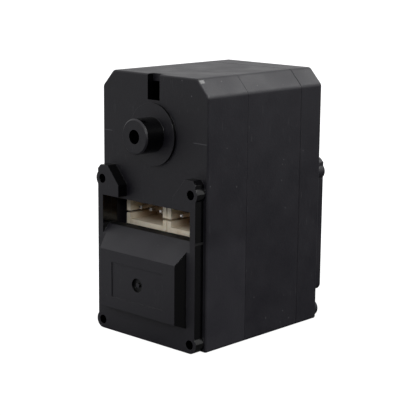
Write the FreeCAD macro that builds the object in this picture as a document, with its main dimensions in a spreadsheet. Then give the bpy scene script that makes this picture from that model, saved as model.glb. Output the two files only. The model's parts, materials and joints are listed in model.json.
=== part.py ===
import FreeCAD, Part
import math
import os

import Sketcher
from FreeCAD import Placement, Rotation, Vector

# Dual-shaft serial bus servo, in millimetres.
# The origin is where the output axis meets the plane of the front face. +Y runs out of the output
# face, +Z runs up to the chamfered end, and +X is to the right when looking along +Y.

DIMENSIONS = {
    # case shells
    "case_width": 24.72,
    "case_depth": 29.0,
    "axis_to_top": 10.0,
    "axis_to_bottom": 35.22,
    "wall": 1.3,
    "front_cover_depth": 5.6,
    "rear_cover_depth": 9.6,
    "top_chamfer_across": 2.6,
    "top_chamfer_down": 2.8,
    "chamfer_rounding": 0.9,
    "bottom_rounding": 0.4,
    "edge_rounding": 0.3,
    "front_seam_bevel": 0.12,
    "rear_seam_bevel": 0.05,
    # raised sections on the rear and front covers
    "plate_height": 2.0,
    "plate_inset": 0.76,
    "plate_rounding": 1.2,
    "rim_width": 1.2,
    "ear_rise": 2.4,
    "ear_reach": 5.1,
    "ear_shoulder": 2.4,
    "ear_drop": 2.8,
    "window_above_motor": 13.25,
    "window_height": 4.6,
    "lip_depth": 1.5,
    "lip_start": 0.6,
    # motor bulge
    "bulge_height": 2.0,
    "bulge_width": 17.9,
    "bulge_draft": 0.75,
    "bulge_above": 5.05,
    "bulge_below": 5.05,
    "label_width": 12.2,
    "label_height": 6.1,
    "label_depth": 0.12,
    "gate_radius": 1.2,
    "gate_depth": 0.5,
    "gate_nub_radius": 0.4,
    # idler pivot on the rear cover
    "disc_radius": 5.3,
    "disc_height": 0.5,
    "pivot_radius": 3.0,
    "pivot_reach": 4.45,
    "pivot_hole_radius": 1.2,
    "pivot_hole_depth": 6.0,
    "pivot_bevel": 0.25,
    "slot_width": 2.8,
    "slot_length": 4.3,
    # case screws
    "screw_spacing_across": 21.0,
    "screw_upper_drop": 8.57,
    "screw_spacing_down": 25.15,
    "screw_radius": 0.6,
    "screw_clearance": 0.04,
    "screw_head_radius": 1.3,
    "screw_head_height": 1.1,
    "screw_column_radius": 1.35,
    "drive_depth": 0.6,
    "ear_boss_radius": 1.5,
    "ear_hole_radius": 0.8,
    "ear_hole_depth": 3.5,
    "lower_boss_height": 1.0,
    "plate_foot_gap": 4.8,
    # gearbox
    "gearbox_depth": 10.2,
    "deck_thickness": 1.2,
    "axis_spacing": 25.25,
    "axle_radius": 0.6,
    "axle_socket_depth": 0.9,
    "axle_1_across": 3.5,
    "axle_3_across": 2.2,
    "running_gap": 0.03,
    "level_gap": 0.25,
    "front_gap": 0.4,
    "backlash": 0.08,
    "stage_1_width": 1.2,
    "stage_2_width": 1.35,
    "stage_3_width": 1.6,
    "stage_4_width": 2.0,
    "stage_1_module": 0.3,
    "stage_2_module": 0.35,
    "stage_3_module": 0.4,
    "stage_4_module": 0.5,
    "motor_pinion_teeth": 9,
    "pinion_teeth": 10,
    "gear_1_teeth": 45,
    "gear_2_teeth": 36,
    "gear_3_teeth": 32,
    "output_gear_teeth": 28,
    "pressure_angle": 25,
    # output shaft and its bearings
    "spline_teeth": 25,
    "spline_radius": 2.95,
    "spline_depth": 0.3,
    "spline_reach": 2.85,
    "journal_radius": 3.0,
    "gear_seat_radius": 2.5,
    "tail_radius": 2.0,
    "horn_hole_radius": 1.25,
    "horn_hole_depth": 6.5,
    "bearing_radius": 5.0,
    "bearing_width": 2.5,
    "ball_count": 9,
    "ball_gap": 0.03,
    "shield_thickness": 0.15,
    "cage_edge": 0.25,
    "bearing_boss_wall": 1.2,
    "output_hole_gap": 0.4,
    "tail_bush_radius": 3.0,
    "tail_bush_length": 2.0,
    # angle sensor
    "magnet_radius": 1.6,
    "magnet_length": 1.2,
    "holder_radius": 2.3,
    "sensor_gap": 1.7,
    "sensor_size": 3.0,
    "sensor_height": 0.9,
    # motor
    "motor_width": 20.1,
    "motor_height": 15.1,
    "can_wall": 0.8,
    "motor_shaft_radius": 0.75,
    "motor_boss_radius": 2.9,
    "motor_boss_height": 1.0,
    "end_cap_thickness": 1.6,
    "end_cap_margin": 0.2,
    "motor_bush_radius": 1.8,
    "motor_bush_length": 1.6,
    "core_gap": 0.85,
    "core_length": 7.6,
    "pole_width": 2.0,
    "winding_overhang": 0.8,
    "commutator_radius": 1.7,
    "commutator_length": 2.2,
    "magnet_air_gap": 0.3,
    "magnet_overhang": 0.5,
    "magnet_arc_share": 0.77,
    "hub_radius": 1.6,
    "shoe_thickness": 0.9,
    "pole_gap": 1.0,
    "coil_reach": 2.2,
    "coil_gap": 0.8,
    "commutator_split": 0.2,
    "brush_length": 2.5,
    "brush_width": 1.4,
    "brush_height": 1.2,
    "brush_clearance": 0.05,
    "terminal_thickness": 0.5,
    "terminal_length": 1.4,
    "terminal_height": 1.6,
    "motor_screw_across": 6.0,
    "motor_screw_drop": 3.6,
    "motor_screw_head_height": 0.8,
    # control board
    "board_thickness": 1.0,
    "board_screw_head_height": 0.8,
    "board_screw_length": 3.0,
    "board_side_gap": 0.45,
    "board_top_gap": 3.4,
    "board_screw_across": 8.6,
    "board_screw_rise": 4.4,
    "post_radius": 1.6,
    "chip_size": 5.0,
    "chip_across": 4.6,
    "chip_drop": 4.5,
    "controller_height": 0.9,
    "driver_height": 1.2,
    "driver_breadth": 4.0,
    "light_length": 1.6,
    "light_breadth": 0.8,
    "light_height": 0.7,
    "capacitor_radius": 2.5,
    "capacitor_length": 5.4,
    "capacitor_rise": 1.4,
    "capacitor_foot_size": 5.2,
    "capacitor_foot_height": 0.6,
    # bus sockets
    "socket_width": 9.8,
    "socket_height": 6.1,
    "socket_depth": 7.6,
    "socket_recess": 3.2,
    "socket_wall": 0.9,
    "socket_back": 1.2,
    "key_width": 1.0,
    "wide_slot": 3.0,
    "wide_slot_height": 1.4,
    "narrow_slot": 1.2,
    "narrow_slot_height": 0.7,
    "guide_rise": 1.9,
    "guide_height": 0.4,
    "guide_length": 5.0,
    "socket_offset": 5.0,
    "socket_clearance": 0.58,
    "pin_size": 0.64,
    "pin_pitch": 2.5,
    "pin_recess": 0.85,
    "pin_tail": 0.8,
    "pin_clearance": 0.02,
    # motor leads
    "lead_radius": 0.4,
    "lead_gap": 0.2,
    "lead_drop": 0.8,
    "lead_bend": 1.2,
    "lead_rise": 4.8,
}

doc = FreeCAD.newDocument("dual_shaft_bus_servo")
sheet = doc.addObject("Spreadsheet::Sheet", "dims")
for row, (word, size) in enumerate(DIMENSIONS.items(), start=1):
    sheet.set(f"A{row}", word)
    sheet.set(f"B{row}", str(size))
    sheet.setAlias(f"B{row}", word)
doc.recompute()


def number(expression):
    """Value of an expression over the sheet."""
    return float(sheet.evalExpression(expression))


# Places along Y, from the front face backwards.
REAR_FACE = "(-dims.case_depth)"
REAR_INNER = "(-dims.case_depth + dims.wall)"
FRONT_INNER = "(-dims.wall)"
FRONT_SEAM = "(-dims.front_cover_depth)"
REAR_SEAM = "(-dims.case_depth + dims.rear_cover_depth)"
PLATE_REAR = "(-dims.case_depth - dims.plate_height)"
PLATE_INNER = "(-dims.case_depth - dims.plate_height + dims.wall)"
BULGE_FACE = "(-dims.case_depth - dims.plate_height - dims.bulge_height)"
BULGE_INNER = f"({BULGE_FACE} + dims.wall)"
DECK_FRONT = "(-dims.gearbox_depth)"
DECK_MIDDLE = "(-dims.gearbox_depth - dims.deck_thickness / 2)"
DECK_REAR = "(-dims.gearbox_depth - dims.deck_thickness)"
BUSH_END = f"({DECK_REAR} - dims.tail_bush_length)"
SOCKET_MOUTH = f"({REAR_FACE} + dims.socket_recess)"
BOARD_REAR = f"({SOCKET_MOUTH} + dims.socket_depth)"
BOARD_FRONT = f"({BOARD_REAR} + dims.board_thickness)"

# Places across and up.
HALF_WIDTH = "(dims.case_width / 2)"
INNER_HALF = "(dims.case_width / 2 - dims.wall)"
TOP = "dims.axis_to_top"
INNER_TOP = "(dims.axis_to_top - dims.wall)"
BOTTOM = "(-dims.axis_to_bottom)"
INNER_BOTTOM = "(-dims.axis_to_bottom + dims.wall)"
MOTOR_Z = "(-dims.axis_spacing)"
SCREW_X = "(dims.screw_spacing_across / 2)"
SCREW_UPPER_Z = "(-dims.screw_upper_drop)"
SCREW_LOWER_Z = "(-dims.screw_upper_drop - dims.screw_spacing_down)"
PLATE_HALF = "(dims.case_width / 2 - dims.plate_inset)"
WINDOW_HALF = f"({PLATE_HALF} - dims.rim_width)"
WINDOW_TOP = f"({MOTOR_Z} + dims.window_above_motor)"
WINDOW_BOTTOM = f"({WINDOW_TOP} - dims.window_height)"
BULGE_TOP = f"({MOTOR_Z} + dims.bulge_above)"
BULGE_BOTTOM = f"({MOTOR_Z} - dims.bulge_below)"

ALONG_Y = Placement(Vector(0, 0, 0), Rotation(Vector(1, 0, 0), -90))
NEAR = 1e-4
SIDES = {"left": -1, "right": 1}


# --- document helpers ----------------------------------------------------------------------

def bind(item, **sizes):
    """Tie properties of an object to expressions over the sheet."""
    for name, expression in sizes.items():
        item.setExpression(name, expression)
    return item


def place(item, x, y, z):
    """Tie an object's position to expressions over the sheet."""
    for axis, expression in zip("xyz", (x, y, z)):
        item.setExpression(f"Placement.Base.{axis}", expression)
    return item


def rod(name, radius, start, length, x="0", z="0"):
    """Round bar that runs towards +Y from start."""
    item = bind(doc.addObject("Part::Cylinder", name), Radius=radius, Height=length)
    item.Placement = ALONG_Y
    return place(item, x, start, z)


def block(name, x, y, z, across, along, up):
    """Box centred on x and z that runs towards +Y from y."""
    item = bind(doc.addObject("Part::Box", name), Length=across, Width=along, Height=up)
    return place(item, f"{x} - ({across}) / 2", y, f"{z} - ({up}) / 2")


def join(name, pieces):
    """One solid made of overlapping pieces."""
    item = doc.addObject("Part::MultiFuse", name)
    item.Shapes = pieces
    item.Refine = True
    return item


def group(name, pieces):
    """Separate solids kept in one object."""
    item = doc.addObject("Part::Compound", name)
    item.Links = pieces
    return item


def cut(name, base, tools):
    """Base with the tools taken away."""
    item = doc.addObject("Part::Cut", name)
    item.Base = base
    item.Tool = tools[0] if len(tools) == 1 else group(name + "_tools", tools)
    return item


def common(name, base, tool):
    """What two objects share."""
    item = doc.addObject("Part::Common", name)
    item.Base = base
    item.Tool = tool
    return item


def ring(name, outer, inner, start, length, x="0", z="0"):
    """Round tube along Y."""
    tube = rod(name + "_outside", outer, start, length, x, z)
    hole = rod(name + "_hole", inner, f"{start} - 1", f"{length} + 2", x, z)
    return cut(name, tube, [hole])


def part_feature(name, shape):
    """Object whose shape is worked out from the sheet's values by a function."""
    item = doc.addObject("Part::Feature", name)
    item.Shape = shape
    return item


# --- sketches and features of a body ---------------------------------------------------------

def hold(sketch, kind, expression, *where):
    """Add one dimension to a sketch and tie it to an expression."""
    index = sketch.addConstraint(Sketcher.Constraint(kind, *where, number(expression)))
    sketch.setExpression(f"Constraints[{index}]", expression)


def polygon(corners):
    """Closed outline whose corners are each held at two distances from the origin."""
    def draw(sketch):
        first = sketch.GeometryCount
        spots = [Vector(number(across), number(up), 0) for across, up in corners]
        count = len(spots)
        for index, spot in enumerate(spots):
            sketch.addGeometry(Part.LineSegment(spot, spots[(index + 1) % count]), False)
        for index, (across, up) in enumerate(corners):
            following = first + (index + 1) % count
            sketch.addConstraint(Sketcher.Constraint("Coincident", first + index, 2, following, 1))
            hold(sketch, "DistanceX", across, -1, 1, first + index, 1)
            hold(sketch, "DistanceY", up, -1, 1, first + index, 1)
    return draw


def rectangle(left, right, low, high):
    return polygon([(left, low), (right, low), (right, high), (left, high)])


def circle(radius, across="0", up="0"):
    def draw(sketch):
        centre = Vector(number(across), number(up), 0)
        curve = sketch.addGeometry(Part.Circle(centre, Vector(0, 0, 1), number(radius)), False)
        hold(sketch, "DistanceX", across, -1, 1, curve, 3)
        hold(sketch, "DistanceY", up, -1, 1, curve, 3)
        hold(sketch, "Radius", radius, curve)
    return draw


def rounded_rectangle(half_width, low, high, radius):
    """Rectangle about x = 0 with four arcs for corners."""
    centres = [
        (f"-({half_width} - {radius})", f"{low} + {radius}", 180),
        (f"{half_width} - {radius}", f"{low} + {radius}", 270),
        (f"{half_width} - {radius}", f"{high} - {radius}", 0),
        (f"-({half_width} - {radius})", f"{high} - {radius}", 90),
    ]

    def draw(sketch):
        first = sketch.GeometryCount
        size = number(radius)
        ends = []
        for across, up, angle in centres:
            centre = Vector(number(across), number(up), 0)
            round_off = Part.Circle(centre, Vector(0, 0, 1), size)
            start = math.radians(angle)
            arc = Part.ArcOfCircle(round_off, start, start + math.pi / 2)
            sketch.addGeometry(arc, False)
            ends.append((arc.StartPoint, arc.EndPoint))
        for index in range(4):
            sketch.addGeometry(Part.LineSegment(ends[index][1], ends[(index + 1) % 4][0]), False)
        for index, (across, up, _angle) in enumerate(centres):
            arc = first + index
            hold(sketch, "DistanceX", across, -1, 1, arc, 3)
            hold(sketch, "DistanceY", up, -1, 1, arc, 3)
            hold(sketch, "Radius", radius, arc)
            line = first + 4 + index
            following = first + (index + 1) % 4
            sketch.addConstraint(Sketcher.Constraint("Tangent", arc, 2, line, 1))
            sketch.addConstraint(Sketcher.Constraint("Tangent", line, 2, following, 1))
    return draw


def new_body(name):
    return doc.addObject("PartDesign::Body", name)


def new_sketch(body, name, plane, offset, outlines):
    """Sketch on one of the body's own origin planes, moved along that plane's normal."""
    sketch = body.newObject("Sketcher::SketchObject", name)
    support = next(item for item in body.Origin.OriginFeatures if item.Role == plane)
    sketch.AttachmentSupport = [(support, "")]
    sketch.MapMode = "FlatFace"
    sketch.setExpression("AttachmentOffset.Base.z", offset)
    for draw in outlines:
        draw(sketch)
    return sketch


def face_sketch(body, name, level, outlines):
    """Sketch across the servo at one place along Y; its normal points rearwards."""
    return new_sketch(body, name + "_sketch", "XZ_Plane", f"-({level})", outlines)


def pad(body, name, level, length, outlines, rearward=True):
    """Add material from level, rearwards or forwards."""
    feature = body.newObject("PartDesign::Pad", name)
    feature.Profile = face_sketch(body, name, level, outlines)
    feature.Reversed = not rearward
    bind(feature, Length=length)
    doc.recompute()
    return feature


def pocket(body, name, level, length, outlines, rearward=True):
    """Take material away from level, rearwards or forwards."""
    before = body.Shape.Volume
    feature = body.newObject("PartDesign::Pocket", name)
    feature.Profile = face_sketch(body, name, level, outlines)
    feature.Reversed = rearward
    bind(feature, Length=length)
    doc.recompute()
    if body.Shape.Volume > before - NEAR:
        raise ValueError(f"{name} cuts nothing")
    return feature


def edges_along_y(shape, spots):
    """Names of the straight edges along Y that pass near any of the spots (x, z)."""
    names = []
    for index, edge in enumerate(shape.Edges, start=1):
        ends = [vertex.Point for vertex in edge.Vertexes]
        if len(ends) != 2 or math.hypot(ends[0].x - ends[1].x, ends[0].z - ends[1].z) > NEAR:
            continue
        if any(math.hypot(ends[0].x - x, ends[0].z - z) < NEAR for x, z in spots):
            names.append(f"Edge{index}")
    return names


def edges_at_level(shape, level):
    """Names of the edges that lie in one plane across Y."""
    names = []
    place_y = number(level)
    for index, edge in enumerate(shape.Edges, start=1):
        box = edge.BoundBox
        if abs(box.YMin - place_y) < NEAR and abs(box.YMax - place_y) < NEAR:
            names.append(f"Edge{index}")
    return names


def dress(body, kind, name, base, edges, **sizes):
    """Round or bevel the named edges of the body's last feature."""
    feature = body.newObject(f"PartDesign::{kind}", name)
    feature.Base = (base, edges)
    bind(feature, **sizes)
    doc.recompute()
    return feature


def spots(pairs):
    return [(number(x), number(z)) for x, z in pairs]


# --- case ------------------------------------------------------------------------------------

CHAMFER_X = f"({HALF_WIDTH} - dims.top_chamfer_across)"
CHAMFER_Z = f"({TOP} - dims.top_chamfer_down)"
CASE_OUTLINE = [
    (f"-{HALF_WIDTH}", BOTTOM),
    (HALF_WIDTH, BOTTOM),
    (HALF_WIDTH, CHAMFER_Z),
    (CHAMFER_X, TOP),
    (f"-{CHAMFER_X}", TOP),
    (f"-{HALF_WIDTH}", CHAMFER_Z),
]
# The slanted wall keeps its thickness, so the inner corners move in by part of the wall.
INNER_CORNER = "(dims.wall * 0.41)"
CASE_ROOM = [
    (f"-{INNER_HALF}", INNER_BOTTOM),
    (INNER_HALF, INNER_BOTTOM),
    (INNER_HALF, f"{CHAMFER_Z} - {INNER_CORNER}"),
    (f"{CHAMFER_X} - {INNER_CORNER}", INNER_TOP),
    (f"-({CHAMFER_X} - {INNER_CORNER})", INNER_TOP),
    (f"-{INNER_HALF}", f"{CHAMFER_Z} - {INNER_CORNER}"),
]
SCREW_SPOTS = [
    (f"{side} * {SCREW_X}", height)
    for side in SIDES.values()
    for height in (SCREW_UPPER_Z, SCREW_LOWER_Z)
]


def case_blank(body, level, length):
    """Solid slice of the case with its long edges rounded."""
    blank = pad(body, body.Name + "_blank", level, length, [polygon(CASE_OUTLINE)])
    upper = edges_along_y(blank.Shape, spots(CASE_OUTLINE[2:]))
    rounded = dress(body, "Fillet", body.Name + "_top_rounding", blank, upper,
                    Radius="dims.chamfer_rounding")
    lower = edges_along_y(rounded.Shape, spots(CASE_OUTLINE[:2]))
    return dress(body, "Fillet", body.Name + "_bottom_rounding", rounded, lower,
                 Radius="dims.bottom_rounding")


def screw_circles(radius, places=SCREW_SPOTS):
    return [circle(radius, x, z) for x, z in places]


def ear_outline(side, low_z, foot_z):
    """Outline of one ear with the rim that runs down from it to the raised plate."""
    boss_z = SCREW_UPPER_Z
    return polygon([
        (f"{side} * {PLATE_HALF}", foot_z),
        (f"{side} * {PLATE_HALF}", f"{boss_z} + dims.ear_rise - dims.rim_width * 0.6"),
        (f"{side} * ({PLATE_HALF} - dims.rim_width * 0.6)", f"{boss_z} + dims.ear_rise"),
        (f"{side} * ({PLATE_HALF} - dims.ear_shoulder)", f"{boss_z} + dims.ear_rise"),
        (f"{side} * ({PLATE_HALF} - dims.ear_reach)", f"{boss_z} - dims.ear_rise * 0.3"),
        (f"{side} * ({PLATE_HALF} - dims.ear_reach)", low_z),
        (f"{side} * {WINDOW_HALF}", low_z),
        (f"{side} * {WINDOW_HALF}", foot_z),
    ])


EAR_LOW = f"({SCREW_UPPER_Z} - dims.ear_drop)"


def make_rear_cover():
    body = new_body("rear_cover")
    rounded = case_blank(body, REAR_SEAM, "dims.rear_cover_depth")
    rim = edges_at_level(rounded.Shape, REAR_FACE)
    rounded = dress(body, "Fillet", "rear_rim_rounding", rounded, rim, Radius="dims.edge_rounding")
    seam = edges_at_level(rounded.Shape, REAR_SEAM)
    dress(body, "Chamfer", "rear_seam_bevel", rounded, seam, Size="dims.rear_seam_bevel")

    # The raised plate, the ears and the bulge start inside the wall, so they grow out of it.
    buried = "(dims.wall / 2)"
    plate_level = f"({REAR_FACE} + {buried})"
    plate_length = f"(dims.plate_height + {buried})"
    pad(body, "rear_plate", plate_level, plate_length,
        [rounded_rectangle(PLATE_HALF, BOTTOM, WINDOW_BOTTOM, "dims.plate_rounding")])
    for side, sign in SIDES.items():
        foot = f"({WINDOW_BOTTOM} - dims.lip_depth)"
        pad(body, f"rear_ear_{side}", plate_level, plate_length, [ear_outline(sign, EAR_LOW, foot)])
    pad(body, "rear_ear_bosses", plate_level, plate_length, screw_circles("dims.ear_boss_radius"))
    make_bulge(body)

    # Rooms inside: the main one, one for the motor's end and one within the bulge.
    pocket(body, "rear_room", REAR_SEAM, "dims.rear_cover_depth - dims.wall", [polygon(CASE_ROOM)])
    motor_half = "(dims.motor_width / 2 + dims.end_cap_margin)"
    motor_low = f"({MOTOR_Z} - dims.motor_height / 2 - dims.end_cap_margin)"
    motor_high = f"({MOTOR_Z} + dims.motor_height / 2 + dims.end_cap_margin)"
    pocket(body, "motor_end_room", REAR_INNER, "dims.plate_height",
           [rectangle(f"-{motor_half}", motor_half, motor_low, motor_high)])
    bulge_half = "(dims.bulge_width / 2 - dims.wall)"
    pocket(body, "bulge_room", PLATE_INNER, "dims.bulge_height",
           [rectangle(f"-{bulge_half}", bulge_half, f"{BULGE_BOTTOM} + dims.wall",
                      f"{BULGE_TOP} - dims.wall")])

    pocket(body, "connector_window", REAR_INNER, "dims.wall + dims.plate_height",
           [rectangle(f"-{WINDOW_HALF}", WINDOW_HALF, WINDOW_BOTTOM, WINDOW_TOP)])
    cut_window_lip(body)

    pad(body, "rear_columns", REAR_SEAM, f"dims.rear_cover_depth - {buried}",
        screw_circles("dims.screw_column_radius"))
    pocket(body, "rear_screw_holes", REAR_SEAM, "dims.rear_cover_depth + dims.plate_height",
           screw_circles("dims.screw_radius"))

    pocket(body, "ear_hole_mouths", PLATE_REAR, "dims.ear_hole_depth",
           screw_circles("dims.ear_hole_radius"), rearward=False)

    pad(body, "pivot_disc", REAR_FACE, "dims.disc_height", [circle("dims.disc_radius")])
    pivot = pad(body, "pivot_boss", REAR_FACE, "dims.pivot_reach", [circle("dims.pivot_radius")])
    tip = f"({REAR_FACE} - dims.pivot_reach)"
    dress(body, "Chamfer", "pivot_bevel", pivot, edges_at_level(pivot.Shape, tip),
          Size="dims.pivot_bevel")
    pad(body, "pivot_root", REAR_INNER, "dims.wall", [circle("dims.pivot_radius")], rearward=False)
    pocket(body, "pivot_hole", tip, "dims.pivot_hole_depth", [circle("dims.pivot_hole_radius")],
           rearward=False)

    half_slot = "(dims.slot_width / 2)"
    slot_low = f"({TOP} - dims.slot_length)"
    pocket(body, "top_slot", REAR_INNER, "dims.wall",
           [rectangle(f"-{half_slot}", half_slot, slot_low, f"{TOP} + 1")])
    return body


def side_pocket(body, name, plane, length, outlines):
    """Cut straight across the body, to both sides of its middle plane."""
    before = body.Shape.Volume
    feature = body.newObject("PartDesign::Pocket", name)
    feature.Profile = new_sketch(body, name + "_sketch", plane, "0", outlines)
    feature.Midplane = True
    bind(feature, Length=length)
    doc.recompute()
    if body.Shape.Volume > before - NEAR:
        raise ValueError(f"{name} cuts nothing")
    return feature


def make_bulge(body):
    """Tapered box over the motor's end, with a shallow recess and a round gate mark."""
    half = "(dims.bulge_width / 2)"
    wide = f"({half} + dims.bulge_draft)"
    bulge = body.newObject("PartDesign::Pad", "motor_bulge")
    bulge.Profile = new_sketch(body, "motor_bulge_sketch", "YZ_Plane", "0", [polygon([
        (f"{PLATE_REAR} + dims.wall / 2", f"{BULGE_BOTTOM} - dims.bulge_draft"),
        (PLATE_REAR, f"{BULGE_BOTTOM} - dims.bulge_draft"),
        (BULGE_FACE, BULGE_BOTTOM),
        (BULGE_FACE, BULGE_TOP),
        (PLATE_REAR, f"{WINDOW_BOTTOM} - dims.lip_depth"),
        (f"{PLATE_REAR} + dims.wall / 2", f"{WINDOW_BOTTOM} - dims.lip_depth"),
    ])])
    bulge.Midplane = True
    bind(bulge, Length=f"2 * {wide}")
    doc.recompute()
    side_pocket(body, "bulge_flanks", "XY_Plane", "4 * dims.axis_to_bottom", [
        polygon([
            (f"{sign} * {wide}", PLATE_REAR),
            (f"{sign} * {half}", BULGE_FACE),
            (f"{sign} * {half}", f"{BULGE_FACE} - 1"),
            (f"{sign} * ({wide} + 1)", f"{BULGE_FACE} - 1"),
            (f"{sign} * ({wide} + 1)", PLATE_REAR),
        ])
        for sign in SIDES.values()
    ])
    half_label = "(dims.label_width / 2)"
    label_z = "(dims.label_height / 2)"
    pocket(body, "label_recess", BULGE_FACE, "dims.label_depth",
           [rectangle(f"-{half_label}", half_label, f"{MOTOR_Z} - {label_z}",
                      f"{MOTOR_Z} + {label_z}")], rearward=False)
    gate_level = f"({BULGE_FACE} + dims.label_depth)"
    pocket(body, "gate_dimple", gate_level, "dims.gate_depth",
           [circle("dims.gate_radius", "0", MOTOR_Z)], rearward=False)
    pad(body, "gate_nub", f"({gate_level} + dims.gate_depth)", "dims.gate_depth * 0.7",
        [circle("dims.gate_nub_radius", "0", MOTOR_Z)])


def cut_window_lip(body):
    """Slope on the window's lower edge, in line with the top of the bulge."""
    start = f"({REAR_FACE} - dims.lip_start)"
    side_pocket(body, "window_lip", "YZ_Plane", f"2 * {WINDOW_HALF}", [polygon([
        (start, WINDOW_BOTTOM),
        (f"{PLATE_REAR} - 0.1", f"{WINDOW_BOTTOM} - dims.lip_depth - 0.1"),
        (f"{PLATE_REAR} - 0.1", f"{WINDOW_BOTTOM} + 0.1"),
        (start, f"{WINDOW_BOTTOM} + 0.1"),
    ])])


BOARD_SCREW_SPOTS = [
    (f"{side} * dims.board_screw_across", "dims.board_screw_rise")
    for side in SIDES.values()
]
MOTOR_SCREW_SPOTS = [
    (f"{side} * dims.motor_screw_across", f"{MOTOR_Z} - dims.motor_screw_drop")
    for side in SIDES.values()
]


def make_middle_case():
    body = new_body("middle_case")
    depth = f"({FRONT_SEAM} - {REAR_SEAM})"
    rounded = case_blank(body, FRONT_SEAM, depth)
    for end, level in (("front", FRONT_SEAM), ("rear", REAR_SEAM)):
        rim = edges_at_level(rounded.Shape, level)
        rounded = dress(body, "Chamfer", f"middle_{end}_bevel", rounded, rim,
                        Size=f"dims.{end}_seam_bevel")
    pocket(body, "gear_room", FRONT_SEAM, f"{FRONT_SEAM} - {DECK_FRONT}", [polygon(CASE_ROOM)])
    pocket(body, "board_room", REAR_SEAM, f"{DECK_REAR} - {REAR_SEAM}", [polygon(CASE_ROOM)],
           rearward=False)
    pad(body, "middle_columns", FRONT_SEAM, depth, screw_circles("dims.screw_column_radius"))
    pad(body, "board_posts", DECK_MIDDLE, f"{DECK_MIDDLE} - {BOARD_FRONT}",
        screw_circles("dims.post_radius", BOARD_SCREW_SPOTS))
    pocket(body, "middle_screw_holes", FRONT_SEAM, depth,
           screw_circles("dims.screw_radius + dims.screw_clearance"))
    pocket(body, "post_holes", BOARD_FRONT, f"{DECK_REAR} - {BOARD_FRONT}",
           screw_circles("dims.screw_radius", BOARD_SCREW_SPOTS), rearward=False)
    pocket(body, "motor_screw_holes", DECK_FRONT, "dims.deck_thickness",
           screw_circles("dims.screw_radius + dims.screw_clearance", MOTOR_SCREW_SPOTS))
    pocket(body, "motor_boss_hole", DECK_FRONT, "dims.deck_thickness",
           [circle("dims.motor_boss_radius + dims.running_gap", "0", MOTOR_Z)])
    pad(body, "tail_bush_housing", DECK_MIDDLE, f"{DECK_MIDDLE} - {BUSH_END}",
        [circle("dims.tail_bush_radius + dims.wall")])
    pocket(body, "tail_bush_seat", DECK_FRONT, "dims.deck_thickness + dims.tail_bush_length",
           [circle("dims.tail_bush_radius")])
    pocket(body, "axle_sockets", DECK_FRONT, "dims.axle_socket_depth", [
        circle("dims.axle_radius", x, z) for x, z in AXLE_SPOTS.values()
    ])
    return body


def make_front_cover():
    body = new_body("front_cover")
    rounded = case_blank(body, "0", "dims.front_cover_depth")
    rim = edges_at_level(rounded.Shape, "0")
    rounded = dress(body, "Fillet", "front_rim_rounding", rounded, rim, Radius="dims.edge_rounding")
    seam = edges_at_level(rounded.Shape, FRONT_SEAM)
    dress(body, "Chamfer", "front_seam_bevel", rounded, seam, Size="dims.front_seam_bevel")

    # Raised plate with two ears; the upper middle stays low, to clear an output horn.
    buried = "(dims.wall / 2)"
    start = f"(-{buried})"
    length = f"(dims.plate_height + {buried})"
    plate_low = f"({BOTTOM} + dims.plate_foot_gap)"
    pad(body, "front_plate", start, length,
        [rounded_rectangle(PLATE_HALF, plate_low, WINDOW_TOP, "dims.plate_rounding")], rearward=False)
    for side, sign in SIDES.items():
        pad(body, f"front_ear_{side}", start, length,
            [ear_outline(sign, EAR_LOW, f"({WINDOW_TOP} - dims.lip_depth)")], rearward=False)
    upper = [(x, z) for x, z in SCREW_SPOTS if z == SCREW_UPPER_Z]
    lower = [(x, z) for x, z in SCREW_SPOTS if z == SCREW_LOWER_Z]
    pad(body, "front_ear_bosses", start, length, screw_circles("dims.ear_boss_radius", upper),
        rearward=False)
    pad(body, "front_lower_bosses", start, f"dims.lower_boss_height + {buried}",
        screw_circles("dims.ear_boss_radius", lower), rearward=False)
    pad(body, "front_ring", start, f"dims.disc_height + {buried}", [circle("dims.disc_radius")],
        rearward=False)

    pocket(body, "front_room", FRONT_SEAM, "dims.front_cover_depth - dims.wall", [polygon(CASE_ROOM)],
           rearward=False)
    pad(body, "bearing_boss", FRONT_INNER, BOSS_LENGTH,
        [circle("dims.bearing_radius + dims.bearing_boss_wall")])
    pad(body, "front_columns", start, f"dims.front_cover_depth - {buried}",
        screw_circles("dims.screw_column_radius"))
    pocket(body, "bearing_seat", BEARING_REAR, "dims.bearing_width", [circle("dims.bearing_radius")],
           rearward=False)
    pocket(body, "output_hole", BEARING_REAR, "dims.bearing_width + dims.disc_height + 0.1",
           [circle("dims.journal_radius + dims.output_hole_gap")], rearward=False)
    pocket(body, "front_screw_holes", FRONT_SEAM, "dims.front_cover_depth + dims.plate_height",
           screw_circles("dims.screw_radius + dims.screw_clearance"), rearward=False)
    for name, top, places in (("upper", "dims.plate_height", upper),
                              ("lower", "dims.lower_boss_height", lower)):
        pocket(body, f"{name}_head_seats", top, "dims.screw_head_height",
               screw_circles("dims.screw_head_radius + dims.screw_clearance", places))
    pocket(body, "front_axle_sockets", FRONT_INNER, "dims.axle_socket_depth", [
        circle("dims.axle_radius", x, z) for x, z in AXLE_SPOTS.values()
    ], rearward=False)
    return body


# --- gear train --------------------------------------------------------------------------------

PINION = "dims.pinion_teeth"
REACH_1 = "(dims.stage_1_module * (dims.motor_pinion_teeth + dims.gear_1_teeth) / 2)"
REACH_2 = f"(dims.stage_2_module * ({PINION} + dims.gear_2_teeth) / 2)"
REACH_3 = f"(dims.stage_3_module * ({PINION} + dims.gear_3_teeth) / 2)"
REACH_4 = f"(dims.stage_4_module * ({PINION} + dims.output_gear_teeth) / 2)"
BOSS_LENGTH = "(dims.bearing_width - dims.wall)"
BEARING_REAR = "(-dims.bearing_width)"

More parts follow.
